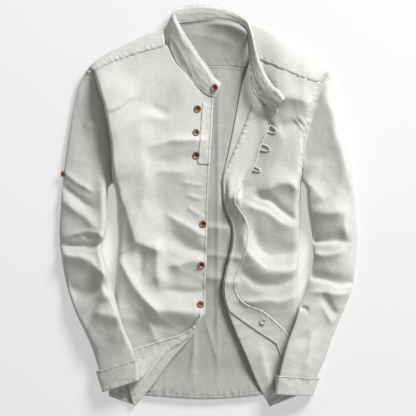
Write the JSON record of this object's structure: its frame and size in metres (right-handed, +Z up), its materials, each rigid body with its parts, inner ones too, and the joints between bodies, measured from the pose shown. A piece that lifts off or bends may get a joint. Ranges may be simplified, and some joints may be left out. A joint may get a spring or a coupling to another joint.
{
  "type": "mandarin collar shirt",
  "caption": "Long-sleeved shirt with a stand collar, laid flat on its back with its front open, cuffs turned up and wooden buttons.",
  "frame": {"origin": "on the table, under the middle of the shirt's outline", "axes": "+X to the wearer's left, +Y to the collar, +Z up from the table"},
  "size_m": [0.5954, 0.8022, 0.0586],
  "materials": {
    "cloth": "matt plain-weave linen and cotton, off-white",
    "facing": "matt plain-weave linen and cotton, off-white, stitched double",
    "wood": "turned wood with a satin finish",
    "shell": "pale glossy button"
  },
  "bodies": {
    "root": {"back": "cloth", "yoke": "cloth", "shoulder_right": "cloth", "front_right": "cloth", "sleeve_right": "cloth", "cuff_right": "cloth", "shoulder_left": "cloth", "front_left": "cloth", "sleeve_left": "cloth", "cuff_left": "cloth", "cuff_right_end": "cloth", "collar": "cloth", "facing_left": "facing", "facing_right": "facing", "button_stand": "facing", "loop_1": "facing", "loop_2": "facing", "loop_3": "facing", "button_collar": "wood", "button_front_1": "wood", "button_front_2": "wood", "button_front_3": "wood", "button_front_4": "wood", "button_front_5": "wood", "button_front_6": "wood", "button_tab": "wood", "button_inner": "shell"}
  },
  "joints": []
}
